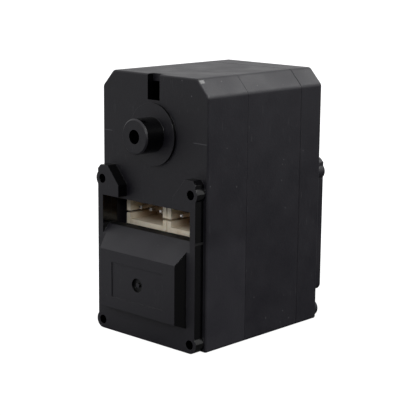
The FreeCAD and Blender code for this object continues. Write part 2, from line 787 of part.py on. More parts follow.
# Rear faces of the four meshing levels; they follow one another behind the bearing.
LEVEL_4 = f"({BEARING_REAR} - dims.front_gap - dims.stage_4_width)"
LEVEL_3 = f"({LEVEL_4} - dims.level_gap - dims.stage_3_width)"
LEVEL_2 = f"({LEVEL_3} - dims.level_gap - dims.stage_2_width)"
LEVEL_1 = f"({LEVEL_2} - dims.level_gap - dims.stage_1_width)"


def axle_places():
    """Where the three gear axles stand, from the reach of each meshing pair."""
    x_1 = "dims.axle_1_across"
    z_1 = f"({MOTOR_Z} + sqrt({REACH_1}^2 - {x_1}^2))"
    x_3 = "dims.axle_3_across"
    z_3 = f"(-sqrt({REACH_4}^2 - {x_3}^2))"
    # Axle 2 is on the left, where the circles about axles 1 and 3 cross.
    span = f"sqrt(({x_3} - {x_1})^2 + ({z_3} - {z_1})^2)"
    along = f"(({REACH_2}^2 - {REACH_3}^2 + ({span})^2) / (2 * {span}))"
    aside = f"sqrt({REACH_2}^2 - {along}^2)"
    x_2 = f"({x_1} + {along} * ({x_3} - {x_1}) / {span} - {aside} * ({z_3} - {z_1}) / {span})"
    z_2 = f"({z_1} + {along} * ({z_3} - {z_1}) / {span} + {aside} * ({x_3} - {x_1}) / {span})"
    return {"axle_1": (x_1, z_1), "axle_2": (x_2, z_2), "axle_3": (x_3, z_3)}


AXLE_SPOTS = axle_places()


def bearing_angle(start, finish):
    """Direction from one axis to another, in the plane of X and Z."""
    return math.atan2(finish[1] - start[1], finish[0] - start[0])


def involute(angle):
    return math.tan(angle) - angle


def wheel(teeth, module, place_at, first_tooth, rear, width, bore):
    """Spur wheel about an axis along Y, with one tooth centred on the angle first_tooth."""
    pressure = math.radians(number("dims.pressure_angle"))
    pitch = module * teeth / 2
    base = pitch * math.cos(pressure)
    tip = pitch + 0.8 * module
    root = pitch - 1.05 * module
    half_tooth = math.pi / (2 * teeth) - number("dims.backlash") / (4 * pitch)
    flank = []
    for step in range(5):
        radius = max(base, root) + (tip - max(base, root)) * step / 4
        lean = involute(math.acos(min(1, base / radius)))
        flank.append((radius, half_tooth + involute(pressure) - lean))
    # The flank flares out at its foot, by a part of the space between two teeth.
    flare = (math.pi / teeth - flank[0][1]) * 0.25
    foot = (root, flank[0][1] + flare)
    profile = [foot] + (flank if base > root else flank[1:])
    outline = []
    for tooth in range(teeth):
        middle = first_tooth + 2 * math.pi * tooth / teeth
        outline += [(radius, middle - half) for radius, half in profile]
        outline += [(radius, middle + half) for radius, half in reversed(profile)]
    points = [
        Vector(place_at[0] + radius * math.cos(angle), rear, place_at[1] + radius * math.sin(angle))
        for radius, angle in outline
    ]
    face = Part.Face(Part.makePolygon(points + points[:1]))
    solid = face.extrude(Vector(0, width, 0))
    hole = Part.makeCylinder(bore, width + 2, Vector(place_at[0], rear - 1, place_at[1]), Vector(0, 1, 0))
    return solid.cut(hole)


def make_gears():
    """The wheels from the motor pinion to the output gear, each in mesh with the next."""
    centres = [(0.0, number(MOTOR_Z))]
    centres += [(number(x), number(z)) for x, z in AXLE_SPOTS.values()]
    centres.append((0.0, 0.0))
    modules = [number(f"dims.stage_{stage}_module") for stage in range(1, 5)]
    widths = [number(f"dims.stage_{stage}_width") for stage in range(1, 5)]
    levels = [number(level) for level in (LEVEL_1, LEVEL_2, LEVEL_3, LEVEL_4)]
    small = [int(number("dims.motor_pinion_teeth"))] + [int(number(PINION))] * 3
    names = ["gear_1", "gear_2", "gear_3", "output_gear"]
    large = [int(number(f"dims.{name}_teeth")) for name in names]
    bore = number("dims.axle_radius + dims.running_gap")
    overlap = number("dims.level_gap")
    pinions = []
    wheels = []
    for stage in range(4):
        towards = bearing_angle(centres[stage], centres[stage + 1])
        hole = number("dims.motor_shaft_radius") if stage == 0 else bore
        # The pinion runs down to the wheel behind it, and has a tooth on the line of centres.
        rear = levels[stage] - (0 if stage == 0 else overlap)
        width = widths[stage] + (0 if stage == 0 else overlap)
        pinions.append(wheel(small[stage], modules[stage], centres[stage], towards, rear, width, hole))
        # The wheel has a gap there, half a pitch from its nearest tooth.
        hole = number("dims.gear_seat_radius") if stage == 3 else bore
        gap = towards + math.pi + math.pi / large[stage]
        wheels.append(wheel(large[stage], modules[stage], centres[stage + 1], gap, levels[stage],
                            widths[stage], hole))
    motor_pinion = part_feature("motor_pinion", pinions[0])
    gears = [
        part_feature(names[stage], wheels[stage].fuse(pinions[stage + 1]).removeSplitter())
        for stage in range(3)
    ]
    return [motor_pinion] + gears + [part_feature("output_gear", wheels[3])]


def make_gear_axles():
    """Steel pins from the deck to the front cover, one for each compound gear."""
    length = f"{FRONT_INNER} - {DECK_FRONT} + 2 * dims.axle_socket_depth"
    start = f"({DECK_FRONT} - dims.axle_socket_depth)"
    pins = [rod(f"{name}_pin", "dims.axle_radius", start, length, x, z)
            for name, (x, z) in AXLE_SPOTS.items()]
    return group("gear_axles", pins)


# --- output shaft, bearing and angle sensor -------------------------------------------------------

# The shaft's tail holds the magnet at the sensor's working distance from the board.
MAGNET_REAR = f"({BOARD_FRONT} + dims.sensor_height + dims.sensor_gap)"
TAIL_END = f"({MAGNET_REAR} + dims.magnet_length)"


def make_output_shaft():
    body = new_body("output_shaft")
    tip = "dims.spline_reach"
    collar_level = "(dims.disc_height)"
    pad(body, "journal", collar_level, f"{collar_level} - {BEARING_REAR}", [circle("dims.journal_radius")])
    pad(body, "gear_seat", BEARING_REAR, "dims.front_gap + dims.stage_4_width",
        [circle("dims.gear_seat_radius")])
    pad(body, "tail", LEVEL_4, f"{LEVEL_4} - {TAIL_END}", [circle("dims.tail_radius")])
    pad(body, "spline_blank", collar_level, f"{tip} - {collar_level}", [circle("dims.spline_radius")],
        rearward=False)
    half_gap = "(3.1416 * dims.spline_radius / dims.spline_teeth * 0.5)"
    groove = pocket(body, "spline_groove", collar_level, f"{tip} - {collar_level}", [polygon([
        (f"-{half_gap}", "dims.spline_radius + 0.05"),
        ("0", "dims.spline_radius - dims.spline_depth"),
        (half_gap, "dims.spline_radius + 0.05"),
    ])], rearward=False)
    pattern = body.newObject("PartDesign::PolarPattern", "spline")
    pattern.Originals = [groove]
    axis = next(item for item in body.Origin.OriginFeatures if item.Role == "Y_Axis")
    pattern.Axis = (axis, [""])
    pattern.Angle = 360
    bind(pattern, Occurrences="dims.spline_teeth")
    body.Tip = pattern
    doc.recompute()
    pocket(body, "horn_hole", tip, "dims.horn_hole_depth", [circle("dims.horn_hole_radius")])
    return body


def make_output_bearing():
    """Ball bearing that carries the output shaft in the front cover."""
    middle = f"({BEARING_REAR} / 2)"
    pitch = "((dims.bearing_radius + dims.journal_radius) / 2)"
    # The balls and both races share the room between the shaft and the seat.
    room = "(dims.bearing_radius - dims.journal_radius)"
    ball_size = f"({room} * 0.3)"
    race = f"({room} * 0.275)"
    spheres = []
    count = int(number("dims.ball_count"))
    groove = bind(doc.addObject("Part::Torus", "race_groove"), Radius1=pitch,
                  Radius2=f"{ball_size} + dims.ball_gap")
    groove.Placement = ALONG_Y
    place(groove, "0", middle, "0")
    inner_groove = doc.copyObject(groove)
    for index in range(count):
        ball = bind(doc.addObject("Part::Sphere", f"ball_{index + 1}"), Radius=ball_size)
        turn = f"{360 * index / count:.4f} deg"
        spheres.append(place(ball, f"{pitch} * cos({turn})", middle, f"{pitch} * sin({turn})"))
    outer = cut("bearing_outer_ring", ring("outer_ring_blank", "dims.bearing_radius",
                f"dims.bearing_radius - {race}", BEARING_REAR, "dims.bearing_width"), [groove])
    inner = cut("bearing_inner_ring", ring("inner_ring_blank", f"dims.journal_radius + {race}",
                "dims.journal_radius", BEARING_REAR, "dims.bearing_width"), [inner_groove])
    balls = group("bearing_balls", spheres)
    pockets = []
    for index in range(count):
        hollow = bind(doc.addObject("Part::Cylinder", f"cage_pocket_{index + 1}"),
                      Radius=f"{ball_size} + dims.ball_gap", Height=f"{pitch} + 2")
        angle = 2 * math.pi * index / count
        outward = Vector(math.cos(angle), 0, math.sin(angle))
        hollow.Placement = Placement(Vector(0, 0, 0), Rotation(Vector(0, 0, 1), outward))
        pockets.append(place(hollow, "0", middle, "0"))
    half_cage = f"({ball_size} + dims.cage_edge)"
    cage_blank = ring("cage_blank", f"{pitch} + 0.2", f"{pitch} - 0.2", f"({middle} - {half_cage})",
                      f"2 * {half_cage}")
    cage = cut("bearing_cage", cage_blank, pockets)
    shields = [
        ring(f"shield_{end}", f"dims.bearing_radius - {race}", f"dims.journal_radius + {race} + 0.1",
             start, "dims.shield_thickness")
        for end, start in (("front", "(-dims.shield_thickness)"), ("rear", BEARING_REAR))
    ]
    return [outer, inner, balls, cage, group("bearing_shields", shields)]


def make_tail_end():
    """Bush, magnet and holder at the inner end of the output shaft."""
    bush = ring("tail_bush", "dims.tail_bush_radius", "dims.tail_radius + dims.running_gap",
                BUSH_END, "dims.deck_thickness + dims.tail_bush_length")
    holder = ring("magnet_holder", "dims.holder_radius - dims.running_gap", "dims.magnet_radius",
                  MAGNET_REAR, "dims.magnet_length")
    magnet = rod("sensor_magnet", "dims.magnet_radius", MAGNET_REAR, "dims.magnet_length")
    return [bush, holder, magnet]


# --- motor ------------------------------------------------------------------------------------------

MOTOR_REAR = f"({PLATE_INNER} + dims.end_cap_margin)"
CAN_REAR = f"({MOTOR_REAR} + dims.end_cap_thickness)"
MOTOR_BOSS_TIP = f"({DECK_REAR} + dims.motor_boss_height)"
CORE_RADIUS = "(dims.motor_height / 2 - dims.can_wall - dims.core_gap)"
CORE_REAR = f"({DECK_REAR} - dims.can_wall - 2 * dims.winding_overhang - dims.core_length)"
COMMUTATOR_REAR = f"({CORE_REAR} - dims.winding_overhang - 0.4 - dims.commutator_length)"
REAR_BOSS_TIP = f"({MOTOR_REAR} - dims.motor_bush_length + 0.2)"


SHAFT_BORE = "(dims.motor_shaft_radius + dims.running_gap)"
BRUSH_X = "(dims.commutator_radius + dims.brush_clearance + dims.brush_length / 2)"


def flat_sided(name, start, length, shrink="0"):
    """Round bar with two flats, the section of the motor's can."""
    bar = rod(name + "_round", f"dims.motor_width / 2 - {shrink}", start, length, "0", MOTOR_Z)
    flats = block(name + "_flats", "0", start, MOTOR_Z, "dims.motor_width + 2", length,
                  f"dims.motor_height - 2 * {shrink}")
    return common(name, bar, flats)


def make_motor_fixed():
    """Can, end cap, magnets, bushes, terminals and brushes."""
    centre = {"x": "0", "z": MOTOR_Z}
    can_length = f"({DECK_REAR} - {CAN_REAR})"
    outside = join("can_outside", [
        flat_sided("can_body", CAN_REAR, can_length),
        rod("can_boss", "dims.motor_boss_radius", DECK_REAR, "dims.motor_boss_height", **centre),
    ])
    inside = flat_sided("can_room", f"({CAN_REAR} - 1)", f"{can_length} + 1 - dims.can_wall",
                        "dims.can_wall")
    front_bush_start = f"({MOTOR_BOSS_TIP} - dims.motor_bush_length)"
    bush_hole = rod("front_bush_seat", "dims.motor_bush_radius", f"({DECK_REAR} - 2)", "5", **centre)
    screw_holes = [
        rod(f"can_screw_hole_{side}", "dims.screw_radius", f"({DECK_REAR} - 2)", "3", x, z)
        for side, (x, z) in zip(SIDES, MOTOR_SCREW_SPOTS)
    ]
    can = cut("motor_can", outside, [inside, bush_hole] + screw_holes)

    cap_boss = rod("cap_boss", "dims.motor_boss_radius", REAR_BOSS_TIP,
                   f"{MOTOR_REAR} - {REAR_BOSS_TIP} + 0.5", **centre)
    cap_blank = join("end_cap_blank", [
        flat_sided("end_cap_plate", MOTOR_REAR, "dims.end_cap_thickness"), cap_boss])
    cap_hole = rod("rear_bush_seat", "dims.motor_bush_radius", f"({REAR_BOSS_TIP} - 1)", "6", **centre)
    terminal_size = ("dims.terminal_thickness", "dims.terminal_length", "dims.terminal_height")
    terminals = []
    slots = []
    for side, sign in SIDES.items():
        x = f"{sign} * {LEAD_X}"
        z = f"({LEAD_Z} - 0.6)"
        y = f"({CAN_REAR} - dims.terminal_length)"
        terminals.append(block(f"terminal_{side}", x, y, z, *terminal_size))
        slots.append(block(f"terminal_slot_{side}", x, y, z, *terminal_size))
    cap = cut("motor_end_cap", cap_blank, [cap_hole] + slots)

    bushes = group("motor_bushes", [
        ring("front_bush", "dims.motor_bush_radius", SHAFT_BORE, front_bush_start,
             "dims.motor_bush_length", **centre),
        ring("rear_bush", "dims.motor_bush_radius", SHAFT_BORE, REAR_BOSS_TIP,
             "dims.motor_bush_length", **centre),
    ])
    air = f"({CORE_RADIUS} + dims.magnet_air_gap)"
    magnet_start = f"({CORE_REAR} - dims.magnet_overhang)"
    magnet_length = "dims.core_length + 2 * dims.magnet_overhang"
    magnet_tube = ring("magnet_tube", "dims.motor_width / 2 - dims.can_wall - 0.05", air,
                       magnet_start, magnet_length, **centre)
    magnet_box = block("magnet_reach", "0", magnet_start, MOTOR_Z, "dims.motor_width",
                       magnet_length, f"2 * {air} * dims.magnet_arc_share")
    magnets = common("motor_magnets", magnet_tube, magnet_box)
    brushes = group("motor_brushes", [
        block(f"brush_{side}", f"{sign} * {BRUSH_X}", f"({COMMUTATOR_REAR} + 0.4)", MOTOR_Z,
              "dims.brush_length", "dims.brush_width", "dims.brush_height")
        for side, sign in SIDES.items()
    ])
    return [can, cap, bushes, magnets, group("motor_terminals", terminals), brushes]


def make_rotor():
    """Everything inside the motor that turns with its shaft."""
    centre = {"x": "0", "z": MOTOR_Z}
    pinion_front = f"({LEVEL_1} + dims.stage_1_width)"
    shaft = rod("motor_shaft", "dims.motor_shaft_radius", REAR_BOSS_TIP,
                f"{pinion_front} - {REAR_BOSS_TIP}", **centre)
    turns = [0, 120, 240]
    hub = rod("core_hub", "dims.hub_radius", CORE_REAR, "dims.core_length", **centre)
    shoes = ring("pole_shoes", CORE_RADIUS, f"{CORE_RADIUS} - dims.shoe_thickness",
                 CORE_REAR, "dims.core_length", **centre)
    necks = [
        pole_block(f"neck_{turn}", turn, "0", f"{CORE_RADIUS} - dims.shoe_thickness / 2",
                   "dims.pole_width", CORE_REAR, "dims.core_length")
        for turn in turns
    ]
    gaps = [
        pole_block(f"pole_gap_{turn}", turn + 60, f"{CORE_RADIUS} - 1.5 * dims.shoe_thickness",
                   "2 * dims.shoe_thickness", "dims.pole_gap", f"({CORE_REAR} - 1)",
                   "dims.core_length + 2")
        for turn in turns
    ]
    bore = rod("core_bore", "dims.motor_shaft_radius", f"({CORE_REAR} - 1)", "dims.core_length + 2",
               **centre)
    core = cut("rotor_core", join("core_blank", [hub, shoes] + necks), gaps + [bore])
    coils = []
    overhang = "dims.winding_overhang"
    coil_depth = f"{CORE_RADIUS} - dims.shoe_thickness - dims.coil_reach - dims.coil_gap"
    for turn in turns:
        outside = pole_block(f"coil_outside_{turn}", turn, "dims.coil_reach", coil_depth,
                             "2 * dims.pole_width", f"({CORE_REAR} - {overhang})",
                             f"dims.core_length + 2 * {overhang}")
        window = pole_block(f"coil_window_{turn}", turn, "0", CORE_RADIUS,
                            "dims.pole_width", CORE_REAR, "dims.core_length")
        coils.append(cut(f"coil_{turn}", outside, [window]))
    windings = group("rotor_windings", coils)
    segments = ring("commutator_blank", "dims.commutator_radius", "dims.motor_shaft_radius",
                    COMMUTATOR_REAR, "dims.commutator_length", **centre)
    splits = [
        pole_block(f"commutator_gap_{turn}", turn, "dims.motor_shaft_radius / 2",
                   "dims.commutator_radius", "dims.commutator_split", f"({COMMUTATOR_REAR} - 1)",
                   "dims.commutator_length + 2")
        for turn in turns
    ]
    commutator = cut("commutator", segments, splits)
    return [shaft, core, windings, commutator]


def pole_block(name, turn, reach, depth, across, start, length):
    """Box that stands out from the motor axis at an angle: from reach, depth long."""
    item = bind(doc.addObject("Part::Box", name), Length=depth, Width=length, Height=across)
    item.Placement = Placement(Vector(0, 0, 0), Rotation(Vector(0, 1, 0), turn))
    angle = f"{turn} deg"
    x = f"({reach}) * cos({angle}) - ({across}) / 2 * sin({angle})"
    z = f"{MOTOR_Z} - ({reach}) * sin({angle}) - ({across}) / 2 * cos({angle})"
    return place(item, x, start, z)


# --- control board, sockets and leads --------------------------------------------------------------

SOCKET_LOW = f"({MOTOR_Z} + dims.motor_height / 2 + dims.socket_clearance)"
SOCKET_Z = f"({SOCKET_LOW} + dims.socket_height / 2)"
PIN_TIP = f"({SOCKET_MOUTH} + dims.pin_recess)"
BOARD_HALF = f"({INNER_HALF} - dims.board_side_gap)"
LEAD_Z = f"({MOTOR_Z} + dims.motor_height / 2 - dims.lead_drop)"
# The leads lie against the round side of the motor's can, level with its upper flat.
CAN_EDGE = "sqrt((dims.motor_width / 2)^2 - (dims.motor_height / 2 - dims.lead_drop)^2)"
LEAD_X = f"({CAN_EDGE} + dims.lead_radius + dims.lead_gap)"


def pin_spots():
    """Where each socket's three pins stand, by side."""
    return {
        side: [f"({sign} * dims.socket_offset + {step} * dims.pin_pitch)" for step in (-1, 0, 1)]
        for side, sign in SIDES.items()
    }


def make_board():
    body = new_body("control_board")
    half_pin = "(dims.pin_size / 2 + dims.pin_clearance)"
    pad(body, "board_blank", BOARD_FRONT, "dims.board_thickness", [
        rectangle(f"-{BOARD_HALF}", BOARD_HALF, SOCKET_LOW, f"{TOP} - dims.board_top_gap")])
    upper = [(x, z) for x, z in SCREW_SPOTS if z == SCREW_UPPER_Z]
    pocket(body, "column_notches", BOARD_FRONT, "dims.board_thickness",
           screw_circles("dims.screw_column_radius + 0.25", upper))
    pocket(body, "board_screw_holes", BOARD_FRONT, "dims.board_thickness",
           screw_circles("dims.screw_radius + dims.screw_clearance", BOARD_SCREW_SPOTS))
    pocket(body, "board_pin_holes", BOARD_FRONT, "dims.board_thickness", [
        rectangle(f"{x} - {half_pin}", f"{x} + {half_pin}", f"{SOCKET_Z} - {half_pin}",
                  f"{SOCKET_Z} + {half_pin}")
        for row in pin_spots().values() for x in row
    ])
    return body


# Pitches from the housing's middle, width and height of the slot in each back wall.
BACK_SLOTS = {
    "left": (-1, "dims.wide_slot", "dims.wide_slot_height"),
    "right": (0.4, "dims.narrow_slot", "dims.narrow_slot_height"),
}


def make_socket(side):
    """Three-pin housing, open to the rear, with key slots in its top wall and a slot in its back."""
    sign = SIDES[side]
    body = new_body(f"bus_socket_{side}")
    centre = f"({sign} * dims.socket_offset)"
    half = "(dims.socket_width / 2)"
    high = f"({SOCKET_LOW} + dims.socket_height)"
    pad(body, f"socket_{side}_blank", BOARD_REAR, "dims.socket_depth",
        [rectangle(f"{centre} - {half}", f"{centre} + {half}", SOCKET_LOW, high)])
    inner = f"({half} - dims.socket_wall)"
    pocket(body, f"socket_{side}_room", f"({BOARD_REAR} - dims.socket_back)",
           "dims.socket_depth - dims.socket_back",
           [rectangle(f"{centre} - {inner}", f"{centre} + {inner}", f"{SOCKET_LOW} + dims.socket_wall",
                      f"{high} - dims.socket_wall")])
    half_pin = "(dims.pin_size / 2 + dims.pin_clearance)"
    pocket(body, f"socket_{side}_pin_holes", BOARD_REAR, "dims.socket_back", [
        rectangle(f"{x} - {half_pin}", f"{x} + {half_pin}", f"{SOCKET_Z} - {half_pin}",
                  f"{SOCKET_Z} + {half_pin}")
        for x in pin_spots()[side]
    ])
    half_key = "(dims.key_width / 2)"
    key_spots = [f"({centre} + {step} * dims.pin_pitch)" for step in (-1, 1)]
    pocket(body, f"socket_{side}_key", f"{SOCKET_MOUTH} + dims.socket_wall", "dims.socket_wall", [
        rectangle(f"{x} - {half_key}", f"{x} + {half_key}", f"{high} - dims.socket_wall", high)
        for x in key_spots
    ])
    guide_low = f"({SOCKET_LOW} + dims.guide_rise)"
    pocket(body, f"socket_{side}_guides", SOCKET_MOUTH, "dims.guide_length", [
        rectangle(f"{centre} - {half} - 0.1", f"{centre} + {half} + 0.1", guide_low,
                  f"{guide_low} + dims.guide_height")
    ], rearward=False)
    # The left housing is slotted about its outermost pin, the right one beside its last pin.
    pitches, width, height = BACK_SLOTS[side]
    slot_x = f"({centre} + {pitches} * dims.pin_pitch)"
    pocket(body, f"socket_{side}_back_slot", BOARD_REAR, "dims.socket_back", [
        rectangle(f"{slot_x} - {width} / 2", f"{slot_x} + {width} / 2",
                  f"{SOCKET_Z} - {height} / 2", f"{SOCKET_Z} + {height} / 2")
    ])
    return body


def make_pins(side):
    """Square pins with tapered tips, through a socket's back and the board."""
    pins = []
    for index, x in enumerate(pin_spots()[side], start=1):
        bar = block(f"pin_{side}_{index}_bar", x, PIN_TIP, SOCKET_Z, "dims.pin_size",
                    f"{BOARD_FRONT} + dims.pin_tail - {PIN_TIP}", "dims.pin_size")
        doc.recompute()
        tip_y = number(PIN_TIP)
        tip_edges = [
            index_of_edge
            for index_of_edge, edge in enumerate(bar.Shape.Edges, start=1)
            if edge.BoundBox.YMax < tip_y + NEAR
        ]
        pin = doc.addObject("Part::Chamfer", f"pin_{side}_{index}")
        pin.Base = bar
        bevel = number("dims.pin_size") / 4
        pin.Edges = [(edge_number, bevel, bevel) for edge_number in tip_edges]
        pins.append(pin)
    return group(f"socket_pins_{side}", pins)


def chip(name, x, z, across, up, height, rearward=True):
    """Moulded package on one side of the board."""
    start = f"({BOARD_REAR} - {height})" if rearward else BOARD_FRONT
    return block(name, x, start, z, across, height, up)


def make_board_parts():
    """What is soldered to the board, and the screws that hold it."""
    sensor = chip("angle_sensor", "0", "0", "dims.sensor_size", "dims.sensor_size",
                  "dims.sensor_height", rearward=False)
    controller = chip("microcontroller", "-dims.chip_across", "-dims.chip_drop", "dims.chip_size",
                      "dims.chip_size", "dims.controller_height")
    driver = chip("motor_driver", "dims.chip_across", "-dims.chip_drop", "dims.chip_size",
                  "dims.driver_breadth", "dims.driver_height")
    light = chip("status_light", "0", f"{TOP} - dims.slot_length + 0.2", "dims.light_length",
                 "dims.light_breadth", "dims.light_height")
    capacitor_start = f"({BOARD_REAR} - dims.capacitor_length)"
    foot_size = "dims.capacitor_foot_size"
    capacitor = join("supply_capacitor", [
        rod("capacitor_can", "dims.capacitor_radius", capacitor_start,
            "dims.capacitor_length - dims.capacitor_foot_height", "0", "dims.capacitor_rise"),
        block("capacitor_foot", "0", f"({BOARD_REAR} - dims.capacitor_foot_height)",
              "dims.capacitor_rise", foot_size, "dims.capacitor_foot_height", foot_size),
    ])
    head_height = "dims.board_screw_head_height"
    screws = []
    for side, (x, z) in zip(SIDES, BOARD_SCREW_SPOTS):
        shank = rod(f"board_screw_shank_{side}", "dims.screw_radius", BOARD_REAR,
                    "dims.board_thickness + dims.board_screw_length", x, z)
        head = rod(f"board_screw_head_{side}", "dims.screw_head_radius",
                   f"({BOARD_REAR} - {head_height})", head_height, x, z)
        screws.append(join(f"board_screw_{side}", [shank, head]))
    return [sensor, controller, driver, light, capacitor, group("board_screws", screws)]


def make_leads():
    """Two insulated wires from the motor's terminals forward and up to the board."""
    leads = []
    bend = number("dims.lead_bend")
    start_y = number(CAN_REAR)
    turn_y = number(f"({BOARD_FRONT} + dims.lead_bend + 0.6)")
    low_z = number(LEAD_Z)
    high_z = number(f"({SOCKET_LOW} + dims.lead_rise)")
    end_y = number(BOARD_FRONT)
    radius = number("dims.lead_radius")
    for sign in SIDES.values():
        x = sign * number(LEAD_X)
        straight = [
            (Vector(x, start_y, low_z), Vector(x, turn_y - bend, low_z)),
            (Vector(x, turn_y, low_z + bend), Vector(x, turn_y, high_z - bend)),
            (Vector(x, turn_y - bend, high_z), Vector(x, end_y, high_z)),
        ]
        slant = bend * math.sqrt(0.5)
        first = Part.Arc(straight[0][1], Vector(x, turn_y - bend + slant, low_z + bend - slant),
                         straight[1][0])
        second = Part.Arc(straight[1][1], Vector(x, turn_y - bend + slant, high_z - bend + slant),
                          straight[2][0])
        runs = [Part.LineSegment(*ends) for ends in straight]
        path = Part.Wire([curve.toShape() for curve in (runs[0], first, runs[1], second, runs[2])])
        profile = Part.Wire([Part.makeCircle(radius, straight[0][0], Vector(0, 1, 0))])
        leads.append(path.makePipeShell([profile], True, False))
    return part_feature("motor_leads", Part.makeCompound(leads))


# --- screws -----------------------------------------------------------------------------------------

def make_case_screws():
    """Long screws from the front ears into the rear ears."""
    screws = []
    shank_end = f"({PLATE_REAR} + dims.ear_hole_depth)"
    for index, (x, z) in enumerate(SCREW_SPOTS, start=1):
        top = "dims.plate_height" if z == SCREW_UPPER_Z else "dims.lower_boss_height"
        seat = f"({top} - dims.screw_head_height)"
        shank = rod(f"case_screw_shank_{index}", "dims.screw_radius", shank_end,
                    f"{seat} - {shank_end}", x, z)
        head = rod(f"case_screw_head_{index}", "dims.screw_head_radius", seat,
                   "dims.screw_head_height", x, z)
        drive = rod(f"case_screw_drive_{index}", "dims.screw_radius * 0.7",
                    f"({top} - dims.drive_depth)", "1", x, z)
        screws.append(cut(f"case_screw_{index}", join(f"case_screw_blank_{index}", [shank, head]), [drive]))
    return group("case_screws", screws)


def make_motor_screws():
    """Short screws that hold the motor under the deck."""
    screws = []
    for side, (x, z) in zip(SIDES, MOTOR_SCREW_SPOTS):
        shank_start = f"({DECK_REAR} - dims.can_wall)"
        shank = rod(f"motor_screw_shank_{side}", "dims.screw_radius", shank_start,
                    f"{DECK_FRONT} - {shank_start}", x, z)
        head = rod(f"motor_screw_head_{side}", "dims.screw_head_radius", DECK_FRONT,
                   "dims.motor_screw_head_height", x, z)
        screws.append(join(f"motor_screw_{side}", [shank, head]))
    return group("motor_screws", screws)


# --- the whole servo ------------------------------------------------------------------------------

nodes = [make_rear_cover(), make_middle_case(), make_front_cover()]
nodes += [make_case_screws(), make_motor_screws()]
nodes += make_gears()
nodes += [make_gear_axles(), make_output_shaft()]
nodes += make_output_bearing()
nodes += make_tail_end()
nodes += make_motor_fixed()
nodes += make_rotor()
nodes += [make_board()]
nodes += [make_socket(side) for side in SIDES]
nodes += [make_pins(side) for side in SIDES]
nodes += make_board_parts()
nodes += [make_leads()]
doc.recompute()

for item in doc.Objects:
    if "Invalid" in item.State or "Error" in item.State:
        raise ValueError(f"{item.Name} failed: {item.State}")
for node in nodes:
    if node.Shape.isNull() or not node.Shape.isValid():
        raise ValueError(f"{node.Label} has no valid shape")

os.makedirs("parts", exist_ok=True)
for node in nodes:
    node.Shape.exportStep(f"parts/{node.Label}.step")
    print(node.Label, len(node.Shape.Solids), round(node.Shape.Volume, 2))
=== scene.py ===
import json
import math

import bpy
from mathutils import Matrix, Vector


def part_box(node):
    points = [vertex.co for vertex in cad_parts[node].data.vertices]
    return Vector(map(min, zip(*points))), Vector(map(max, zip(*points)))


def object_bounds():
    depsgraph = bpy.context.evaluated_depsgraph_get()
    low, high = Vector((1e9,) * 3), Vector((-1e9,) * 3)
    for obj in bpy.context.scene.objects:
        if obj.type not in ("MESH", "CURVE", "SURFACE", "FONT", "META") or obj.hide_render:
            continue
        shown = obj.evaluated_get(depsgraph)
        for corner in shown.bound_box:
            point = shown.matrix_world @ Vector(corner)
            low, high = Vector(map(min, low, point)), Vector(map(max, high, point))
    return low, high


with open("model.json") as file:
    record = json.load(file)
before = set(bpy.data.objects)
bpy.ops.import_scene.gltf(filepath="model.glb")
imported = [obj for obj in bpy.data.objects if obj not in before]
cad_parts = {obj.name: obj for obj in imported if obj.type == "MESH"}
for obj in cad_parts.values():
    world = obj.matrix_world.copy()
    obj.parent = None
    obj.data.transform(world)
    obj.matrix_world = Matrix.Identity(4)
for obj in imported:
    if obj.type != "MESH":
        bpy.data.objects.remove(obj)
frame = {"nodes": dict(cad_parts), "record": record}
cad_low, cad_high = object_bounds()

MM = 0.001

# Places on the rear cover, in the frame of the CAD: y of the rear wall's outer face, y of the sockets'
# mouths, and the reach of the openings that are cut through the wall.
REAR_FACE = -29.0 * MM
SOCKET_MOUTH = -25.8 * MM
REAR_WALL = 1.3 * MM
OPENINGS_HALF_WIDTH = 10.45 * MM
OPENINGS_LOW = -17.0 * MM
OPENINGS_HIGH = 9.9 * MM


# --- node helpers ----------------------------------------------------------------------------------

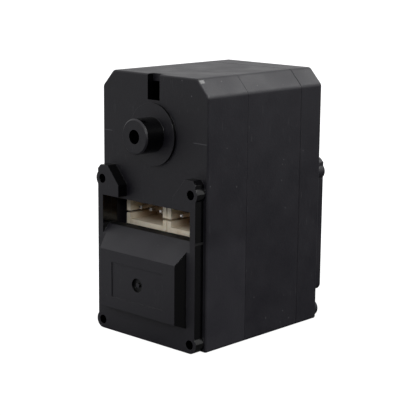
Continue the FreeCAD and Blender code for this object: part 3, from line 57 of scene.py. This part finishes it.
class Finish:
    """One procedural material: a Principled shader fed by textures in the object's own space."""

    def __init__(self, name, colour, roughness, metallic=0.0, specular=0.5):
        self.material = bpy.data.materials.new(name)
        self.material.use_nodes = True
        self.tree = self.material.node_tree
        self.shader = self.tree.nodes["Principled BSDF"]
        self.shader.inputs["Base Color"].default_value = (*colour, 1.0)
        self.shader.inputs["Roughness"].default_value = roughness
        self.shader.inputs["Metallic"].default_value = metallic
        self.shader.inputs["Specular IOR Level"].default_value = specular
        self.place = self.tree.nodes.new("ShaderNodeTexCoord").outputs["Object"]
        self.colour = None
        self.height = None

    def node(self, kind, links=(), **settings):
        """New node with its settings applied and its inputs linked or filled."""
        made = self.tree.nodes.new(kind)
        for key, value in settings.items():
            setattr(made, key, value)
        for socket, value in dict(links).items():
            if isinstance(value, bpy.types.NodeSocket):
                self.tree.links.new(value, made.inputs[socket])
            else:
                made.inputs[socket].default_value = value
        return made

    def noise(self, size, detail, stretch=(1, 1, 1), distortion=0.0):
        """Noise whose features are about size metres across; stretch lengthens them along an axis."""
        where = self.node("ShaderNodeMapping", {"Vector": self.place,
                                                "Scale": [1 / part for part in stretch]})
        made = self.node("ShaderNodeTexNoise", {"Vector": where.outputs[0], "Scale": 1 / size,
                                                "Detail": detail, "Distortion": distortion})
        return made.outputs[0]

    def cells(self, size):
        """Distance to the nearest of points scattered about size metres apart, in that unit."""
        made = self.node("ShaderNodeTexVoronoi", {"Vector": self.place, "Scale": 1 / size,
                                                  "Randomness": 1.0})
        return made.outputs["Distance"]

    def ramp(self, value, low, high, start=0.0, finish=1.0):
        """Value spread from low..high to start..finish, smooth and clamped."""
        made = self.node("ShaderNodeMapRange", {"Value": value, "From Min": low, "From Max": high,
                                                "To Min": start, "To Max": finish},
                         interpolation_type="SMOOTHSTEP")
        return made.outputs[0]

    def sum(self, *values):
        return self._fold("ADD", values)

    def product(self, *values):
        return self._fold("MULTIPLY", values)

    def _fold(self, operation, values):
        total = values[0]
        for value in values[1:]:
            total = self.node("ShaderNodeMath", {0: total, 1: value}, operation=operation).outputs[0]
        return total

    def coordinate(self, axis):
        """Place along X, Y or Z, in metres."""
        split = self.node("ShaderNodeSeparateXYZ", {"Vector": self.place})
        return split.outputs[axis]

    def within(self, axis, low, high, soft):
        """1 between low and high along an axis, fading to 0 over soft metres outside."""
        value = self.coordinate(axis)
        rise = self.ramp(value, low - soft, low)
        fall = self.ramp(value, high, high + soft, 1.0, 0.0)
        return self.product(rise, fall)

    def edges(self, radius):
        """1 on sharp edges, 0 on flat faces."""
        bevel = self.node("ShaderNodeBevel", {"Radius": radius}, samples=4)
        facing = self.node("ShaderNodeNewGeometry").outputs["Normal"]
        turn = self.node("ShaderNodeVectorMath", {0: bevel.outputs[0], 1: facing},
                         operation="DOT_PRODUCT")
        return self.ramp(turn.outputs["Value"], 0.985, 0.90)

    def across_y(self):
        """1 where the true surface faces across Y, 0 where it faces along Y or halfway."""
        facing = self.node("ShaderNodeNewGeometry").outputs["True Normal"]
        local = self.node("ShaderNodeVectorTransform", {"Vector": facing}, vector_type="NORMAL",
                          convert_from="WORLD", convert_to="OBJECT")
        split = self.node("ShaderNodeSeparateXYZ", {"Vector": local.outputs[0]})
        size = self.node("ShaderNodeMath", {0: split.outputs["Y"]}, operation="ABSOLUTE")
        return self.ramp(size.outputs[0], 0.60, 0.50)

    def raised(self):
        """1 behind the rear face and in the openings cut through it."""
        behind = self.ramp(self.coordinate("Y"), REAR_FACE - 0.02 * MM, REAR_FACE - 0.06 * MM)
        soft = 0.02 * MM
        through = self.product(self.within("X", -OPENINGS_HALF_WIDTH, OPENINGS_HALF_WIDTH, soft),
                               self.within("Y", REAR_FACE, REAR_FACE + REAR_WALL, soft),
                               self.within("Z", OPENINGS_LOW, OPENINGS_HIGH, soft))
        return self.node("ShaderNodeMath", {0: behind, 1: through}, operation="MAXIMUM").outputs[0]

    def tint(self, mask, colour):
        """Lay a colour over what is there, as far as the mask goes."""
        base = self.colour
        if base is None:
            base = tuple(self.shader.inputs["Base Color"].default_value)
        mixer = self.node("ShaderNodeMix", data_type="RGBA")
        for index, value in ((0, mask), (6, base), (7, (*colour, 1.0))):
            if isinstance(value, bpy.types.NodeSocket):
                self.tree.links.new(value, mixer.inputs[index])
            else:
                mixer.inputs[index].default_value = value
        self.colour = mixer.outputs[2]
        self.tree.links.new(self.colour, self.shader.inputs["Base Color"])

    def roughen(self, value):
        """Roughness that varies over the surface."""
        self.tree.links.new(value, self.shader.inputs["Roughness"])

    def bump(self, height, depth, rounding=None):
        """Surface relief: depth in metres; rounding softens the shading of sharp edges."""
        links = {"Height": height, "Distance": depth, "Strength": 1.0}
        if rounding:
            links["Normal"] = self.node("ShaderNodeBevel", {"Radius": rounding}, samples=4).outputs[0]
        made = self.node("ShaderNodeBump", links)
        self.tree.links.new(made.outputs[0], self.shader.inputs["Normal"])


# --- materials -------------------------------------------------------------------------------------

CASE_BLACK = (0.0042, 0.0036, 0.0070)
CASE_FLOW = (0.0060, 0.0053, 0.0092)
CASE_GRAIN = (0.0092, 0.0085, 0.0125)
CASE_WEAR_AND_SHEEN = (0.018, 0.0175, 0.0195)
CASE_FLOOR_REFLECTION = (0.0150, 0.0142, 0.0190)
CASE_WALL_SHADE = (0.0006, 0.0006, 0.0009)
CASE_HOLLOW_SHADE = (0.0010, 0.0010, 0.0014)
DUST = (0.20, 0.20, 0.21)
SCUFF = (0.055, 0.055, 0.058)
INDEX_LINE = (0.085, 0.085, 0.095)

SOCKET_CREAM = (0.93, 0.84, 0.68)
SOCKET_SHADE = (0.78, 0.66, 0.49)
SOCKET_DEPTH_SHADE = (0.42, 0.27, 0.15)
SOCKET_EDGE_HIGHLIGHT = (0.84, 0.78, 0.66)
SOCKET_SPOT = (0.50, 0.41, 0.30)


def case_finish(name, marks=False):
    """Black moulded plastic: fine spark texture, faint flow, dust, scuffs, and edges lightened partly
    by wear and partly by a painted highlight. With marks it also has what only the rear cover shows."""
    made = Finish(name, CASE_BLACK, 0.5)
    broad = made.noise(6 * MM, 3)
    fine = made.noise(0.10 * MM, 3)
    grain = made.noise(0.32 * MM, 2)
    made.tint(made.ramp(broad, 0.35, 0.75, 0.0, 0.7), CASE_FLOW)
    made.tint(made.ramp(grain, 0.45, 0.80, 0.0, 0.45), CASE_GRAIN)
    wear_and_sheen = made.product(made.edges(0.16 * MM), made.ramp(made.noise(1.1 * MM, 3), 0.40, 0.62))
    # Lighter edges: part wear, part painted highlight along every sharp edge.
    made.tint(made.product(wear_and_sheen, 0.35), CASE_WEAR_AND_SHEEN)
    specks = made.ramp(made.cells(1.7 * MM), 0.085, 0.045)
    sparse = made.ramp(made.noise(3.1 * MM, 1), 0.53, 0.58)
    made.tint(made.product(specks, sparse, 0.35), DUST)
    scuffs = made.product(made.ramp(made.noise(0.22 * MM, 2, (1, 1, 14), 0.2), 0.655, 0.70),
                          made.ramp(made.noise(5.0 * MM, 1), 0.52, 0.62))
    made.tint(made.product(scuffs, 0.5), SCUFF)
    roughness = made.sum(made.ramp(broad, 0.3, 0.7, 0.44, 0.54), made.product(wear_and_sheen, -0.08))
    if marks:
        roughness = rear_marks(made, roughness)
    made.roughen(roughness)
    relief = made.sum(made.product(fine, 0.6), made.product(grain, 0.9), made.product(wear_and_sheen, -0.5))
    made.bump(relief, 0.016 * MM, rounding=0.10 * MM)
    return made.material


def rear_marks(made, roughness):
    """What only the rear cover shows: the bottom half lightened by a painted reflection of the floor,
    smooth sides round whatever stands proud tinted near-black as painted shade, painted shade in the
    dimple of the motor bulge and in the weld groove above the window, and the two index lines. Returns
    the roughness with the walls' share in it."""
    # Painted reflection: the bottom of the cover is lightened as if the pale floor shone in it.
    floor_reflection = made.ramp(made.coordinate("Z"), -15 * MM, -19 * MM)
    made.tint(made.product(floor_reflection, 0.7), CASE_FLOOR_REFLECTION)

    # Painted shade: the sides of whatever stands proud, and the openings through the wall, are tinted
    # near-black.
    walls = made.product(made.across_y(), made.raised())
    made.tint(walls, CASE_WALL_SHADE)
    sill = made.within("Z", -16.8 * MM, -16.4 * MM, 0.02 * MM)
    polish = made.product(walls, -0.40)
    frost = made.product(walls, sill, 0.50)

    # Painted shade in the dimple of the motor bulge.
    dimple = made.product(made.within("X", -1.25 * MM, 1.25 * MM, 0.02 * MM),
                          made.within("Y", -32.45 * MM, -32.30 * MM, 0.02 * MM),
                          made.within("Z", -26.5 * MM, -24.0 * MM, 0.02 * MM))
    made.tint(dimple, CASE_HOLLOW_SHADE)

    face = made.within("Y", REAR_FACE - 0.1 * MM, REAR_FACE + 0.05 * MM, 0.05 * MM)
    # Painted shade of the weld groove above the window.
    weld = made.product(made.within("X", -0.05 * MM, 0.05 * MM, 0.04 * MM), face,
                        made.within("Z", -12.2 * MM, -9.4 * MM, 0.6 * MM))
    made.tint(weld, CASE_HOLLOW_SHADE)

    low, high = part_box("rear_cover")
    level = made.within("Z", -0.47 * MM, -0.37 * MM, 0.04 * MM)
    left = made.within("X", low.x + 0.15 * MM, low.x + 2.1 * MM, 0.3 * MM)
    right = made.within("X", high.x - 3.0 * MM, high.x - 0.4 * MM, 0.3 * MM)
    made.tint(made.product(level, made.sum(left, right), face, 0.6), INDEX_LINE)
    return made.sum(roughness, polish, frost)


def moulded(name, colour, roughness):
    """Plain moulded plastic: slight flow in its colour, fine texture, a painted highlight on its edges.
    """
    made = Finish(name, colour, roughness, specular=0.4)
    darker = tuple(part * 0.75 for part in colour)
    edge_highlight = tuple(min(1.0, part * 1.25) for part in colour)
    made.tint(made.ramp(made.noise(2.4 * MM, 3), 0.40, 0.70), darker)
    # Painted highlight along sharp edges.
    made.tint(made.product(made.edges(0.10 * MM), 0.4), edge_highlight)
    made.roughen(made.ramp(made.noise(0.6 * MM, 2), 0.3, 0.7, roughness - 0.07, roughness + 0.09))
    made.bump(made.noise(0.12 * MM, 3), 0.008 * MM, rounding=0.05 * MM)
    return made.material


def socket_finish(name):
    """Cream nylon: lets a little light in, a shade browner in patches, with painted shade deep inside
    and a painted highlight on its edges.
    """
    made = Finish(name, SOCKET_CREAM, 0.42)
    made.shader.inputs["Subsurface Weight"].default_value = 0.08
    made.shader.inputs["Subsurface Radius"].default_value = (0.9, 0.6, 0.35)
    made.shader.inputs["Subsurface Scale"].default_value = 0.5 * MM
    made.tint(made.ramp(made.noise(1.6 * MM, 3), 0.42, 0.72, 0.0, 0.7), SOCKET_SHADE)
    # Painted shade: browner and darker the deeper inside the socket.
    depth = made.coordinate("Y")
    made.tint(made.ramp(depth, SOCKET_MOUTH + 0.3 * MM, SOCKET_MOUTH + 4.0 * MM, 0.0, 0.8), SOCKET_DEPTH_SHADE)
    # Painted highlight along the socket's edges.
    made.tint(made.product(made.edges(0.09 * MM), 0.5), SOCKET_EDGE_HIGHLIGHT)
    made.tint(made.ramp(made.noise(0.35 * MM, 2), 0.60, 0.75, 0.0, 0.3), SOCKET_SPOT)
    made.roughen(made.ramp(made.noise(0.5 * MM, 2), 0.3, 0.7, 0.36, 0.50))
    made.bump(made.noise(0.10 * MM, 3), 0.006 * MM, rounding=0.06 * MM)
    return made.material


def metal(name, colour, roughness, streak=(1, 1, 1), tarnish=0.35):
    """Worked metal: tool streaks along an axis, tarnish in patches, edges lightened by a painted
    highlight.
    """
    made = Finish(name, colour, roughness, metallic=1.0)
    darker = tuple(part * 0.55 for part in colour)
    edge_highlight = tuple(min(1.0, part * 1.3) for part in colour)
    made.tint(made.ramp(made.noise(1.5 * MM, 4), 0.45, 0.75, 0.0, tarnish), darker)
    # Painted highlight along sharp edges.
    made.tint(made.product(made.edges(0.07 * MM), 0.5), edge_highlight)
    lines = made.noise(0.05 * MM, 2, streak)
    made.roughen(made.ramp(lines, 0.3, 0.7, roughness - 0.08, roughness + 0.10))
    made.bump(lines, 0.003 * MM, rounding=0.04 * MM)
    return made.material


def wound_copper(name):
    """Enamelled wire: rows of turns along the motor's axis, with painted shade in the grooves between
    them.
    """
    made = Finish(name, (0.62, 0.22, 0.08), 0.25, metallic=1.0)
    turns = made.node("ShaderNodeTexWave", {"Vector": made.place, "Scale": 1 / (1.2 * MM)},
                      bands_direction="Z")
    # Painted shade in the grooves between turns.
    made.tint(made.ramp(turns.outputs[1], 0.0, 0.5, 0.7, 0.0), (0.16, 0.045, 0.02))
    made.roughen(made.ramp(made.noise(0.4 * MM, 2), 0.3, 0.7, 0.20, 0.38))
    made.bump(turns.outputs[1], 0.03 * MM)
    return made.material


def board_finish(name):
    """Solder mask over copper tracks, with the tracks showing as lighter paths."""
    made = Finish(name, (0.012, 0.085, 0.035), 0.32)
    tracks = made.node("ShaderNodeTexBrick", {"Vector": made.place, "Scale": 1 / (2.2 * MM),
                                              "Mortar Size": 0.05, "Color1": (0, 0, 0, 1),
                                              "Color2": (0, 0, 0, 1), "Mortar": (1, 1, 1, 1)})
    made.tint(made.product(tracks.outputs[0], 0.6), (0.03, 0.17, 0.075))
    made.tint(made.ramp(made.noise(1.8 * MM, 3), 0.45, 0.70, 0.0, 0.5), (0.008, 0.06, 0.025))
    made.roughen(made.ramp(made.noise(0.5 * MM, 2), 0.3, 0.7, 0.26, 0.40))
    made.bump(made.sum(tracks.outputs[0], made.noise(0.1 * MM, 2)), 0.02 * MM)
    return made.material


def lens_finish(name):
    """Clear epoxy over a small light source that is off."""
    made = Finish(name, (0.80, 0.78, 0.66), 0.12)
    made.shader.inputs["Transmission Weight"].default_value = 0.35
    made.tint(made.ramp(made.noise(0.6 * MM, 2), 0.4, 0.7, 0.0, 0.6), (0.55, 0.52, 0.40))
    made.bump(made.noise(0.2 * MM, 2), 0.005 * MM, rounding=0.05 * MM)
    return made.material


# One finish for each material slot of the record.
FINISHES = {
    "case_plastic": case_finish("case_plastic_black"),
    "socket_plastic": socket_finish("socket_nylon_cream"),
    "pin_tin": metal("pin_tin_bright", (0.90, 0.885, 0.86), 0.16, (1, 10, 1), 0.15),
    "screw_steel": metal("screw_steel_black", (0.13, 0.13, 0.135), 0.36, (1, 1, 1), 0.5),
    "bright_steel": metal("steel_ground", (0.62, 0.62, 0.63), 0.24, (8, 1, 8)),
    "ball_chrome": metal("ball_polished", (0.78, 0.78, 0.79), 0.12),
    "can_steel": metal("can_plated", (0.58, 0.58, 0.59), 0.30, (1, 12, 1)),
    "gear_steel": metal("gear_steel_machined", (0.43, 0.43, 0.45), 0.30, (1, 10, 1)),
    "gear_brass": metal("gear_brass_machined", (0.72, 0.53, 0.24), 0.28, (1, 10, 1)),
    "brass": metal("brass_plain", (0.68, 0.51, 0.25), 0.30),
    "copper": wound_copper("copper_wound"),
    "lamination": metal("core_laminations", (0.22, 0.22, 0.23), 0.45, (10, 0.5, 10)),
    "ferrite": metal("ferrite_pressed", (0.07, 0.07, 0.075), 0.62),
    "magnet_nickel": metal("magnet_nickel_plate", (0.70, 0.69, 0.65), 0.18),
    "carbon": moulded("carbon_pressed", (0.03, 0.03, 0.03), 0.65),
    "end_cap_plastic": moulded("end_cap_white", (0.70, 0.69, 0.66), 0.48),
    "board_green": board_finish("board_solder_mask"),
    "chip_black": moulded("chip_epoxy", (0.018, 0.018, 0.019), 0.52),
    "light_lens": lens_finish("status_lens"),
    "capacitor_can": metal("capacitor_aluminium", (0.74, 0.74, 0.76), 0.26, (1, 8, 1)),
    "lead_sleeve": moulded("lead_sleeve_red", (0.30, 0.018, 0.015), 0.50),
}
REAR_COVER = case_finish("case_plastic_marked", marks=True)

for entry in frame["record"]["subparts"]:
    chosen = REAR_COVER if entry["node"] == "rear_cover" else FINISHES[entry["material_slot"]]
    mesh = frame["nodes"][entry["node"]].data
    mesh.materials.clear()
    mesh.materials.append(chosen)


# --- studio ----------------------------------------------------------------------------------------

CAMERA_AZIMUTH = math.radians(43.05)
CAMERA_ELEVATION = math.radians(11.85)
CAMERA_ROLL = math.radians(0.58)
CAMERA_DISTANCE = 226.86 * MM
CAMERA_LENS = 111.33
AIM_POINT = Vector((-0.55, -15.0, -14.63)) * MM

# The light tent: the way its open, dark side faces, where its wall starts and ends turning dark, as the
# cosine from that way, and how bright it is on either side.
DARK_SIDE = (0.906, -0.423, 0.0)
DARK_START = 0.30
DARK_END = 0.80
TENT_LIGHT = 0.80
OPEN_SIDE_LIGHT = 0.02

FLOOR_RADIUS = 1.6
FLOOR_SIDES = 96
FLOOR_GLOW = 0.97

# Name, place in metres, size in metres and power in watts.
SOFTBOXES = (
    ("top_softbox", (0.30, 0.04, 0.30), 0.34, 1.6),
    ("edge_softbox", (0.09, 0.28, 0.27), 0.12, 0.18),
    ("front_softbox", (0.30, -0.36, 0.20), 0.12, 0.6),
)


def add_camera():
    """Long lens, above and to the right of the rear face."""
    back = Vector((math.sin(CAMERA_AZIMUTH) * math.cos(CAMERA_ELEVATION),
                   -math.cos(CAMERA_AZIMUTH) * math.cos(CAMERA_ELEVATION),
                   math.sin(CAMERA_ELEVATION)))
    right = Vector((0, 0, 1)).cross(back).normalized()
    up = back.cross(right)
    turn = Matrix((right, up, back)).transposed() @ Matrix.Rotation(CAMERA_ROLL, 3, "Z")
    data = bpy.data.cameras.new("view_camera")
    data.lens = CAMERA_LENS
    data.sensor_width = 36.0
    data.clip_start = 0.01
    camera = bpy.data.objects.new("view_camera", data)
    camera.matrix_world = Matrix.Translation(AIM_POINT + back * CAMERA_DISTANCE) @ turn.to_4x4()
    bpy.context.scene.collection.objects.link(camera)
    bpy.context.scene.camera = camera


def add_softbox(name, place, size, power):
    """Square area light that faces the servo."""
    data = bpy.data.lights.new(name, "AREA")
    data.shape = "SQUARE"
    data.size = size
    data.energy = power
    light = bpy.data.objects.new(name, data)
    light.location = place
    light.rotation_euler = (AIM_POINT - Vector(place)).to_track_quat("-Z", "Y").to_euler()
    bpy.context.scene.collection.objects.link(light)


def add_floor():
    """Pale round floor under the servo."""
    mesh = bpy.data.meshes.new("studio_floor")
    angles = [2 * math.pi * step / FLOOR_SIDES for step in range(FLOOR_SIDES)]
    rim = [(FLOOR_RADIUS * math.cos(angle), FLOOR_RADIUS * math.sin(angle), 0.0) for angle in angles]
    mesh.from_pydata(rim, [], [tuple(range(FLOOR_SIDES))])
    floor = bpy.data.objects.new("studio_floor", mesh)
    floor.location = (0, AIM_POINT.y, cad_low.z)
    bpy.context.scene.collection.objects.link(floor)
    paper = Finish("floor_paper", (0.05, 0.05, 0.05), 0.85, specular=0.1)
    paper.tint(paper.ramp(paper.coordinate("X"), 0.02, -0.04), (0.30, 0.30, 0.31))
    paper.bump(paper.noise(0.8 * MM, 2), 0.004 * MM)
    # The floor looks white to the camera, but throws little light up on to the case's right side.
    seen = paper.node("ShaderNodeLightPath").outputs["Is Camera Ray"]
    glow = paper.node("ShaderNodeMath", {0: seen, 1: FLOOR_GLOW}, operation="MULTIPLY")
    paper.shader.inputs["Emission Color"].default_value = (1.0, 1.0, 1.0, 1.0)
    paper.tree.links.new(glow.outputs[0], paper.shader.inputs["Emission Strength"])
    mesh.materials.append(paper.material)


def add_world():
    """White surround with a dark side, as in a light tent that opens to the right of the camera.
    The camera itself sees plain white behind the servo."""
    world = bpy.data.worlds.new("studio_surround")
    world.use_nodes = True
    tree = world.node_tree
    surround = tree.nodes["Background"]
    surround.inputs["Color"].default_value = (1.0, 1.0, 1.0, 1.0)
    where = tree.nodes.new("ShaderNodeTexCoord").outputs["Generated"]
    turn = tree.nodes.new("ShaderNodeVectorMath")
    turn.operation = "DOT_PRODUCT"
    tree.links.new(where, turn.inputs[0])
    turn.inputs[1].default_value = DARK_SIDE
    shade = tree.nodes.new("ShaderNodeMapRange")
    shade.interpolation_type = "SMOOTHSTEP"
    for socket, value in (("From Min", DARK_START), ("From Max", DARK_END),
                          ("To Min", TENT_LIGHT), ("To Max", OPEN_SIDE_LIGHT)):
        shade.inputs[socket].default_value = value
    tree.links.new(turn.outputs["Value"], shade.inputs["Value"])
    seen = tree.nodes.new("ShaderNodeLightPath").outputs["Is Camera Ray"]
    choice = tree.nodes.new("ShaderNodeMix")
    choice.data_type = "FLOAT"
    tree.links.new(seen, choice.inputs[0])
    tree.links.new(shade.outputs[0], choice.inputs[2])
    choice.inputs[3].default_value = 1.0
    tree.links.new(choice.outputs[0], surround.inputs["Strength"])
    bpy.context.scene.world = world


add_camera()
add_world()
add_floor()
for box in SOFTBOXES:
    add_softbox(*box)
bpy.context.scene.view_settings.view_transform = "Standard"
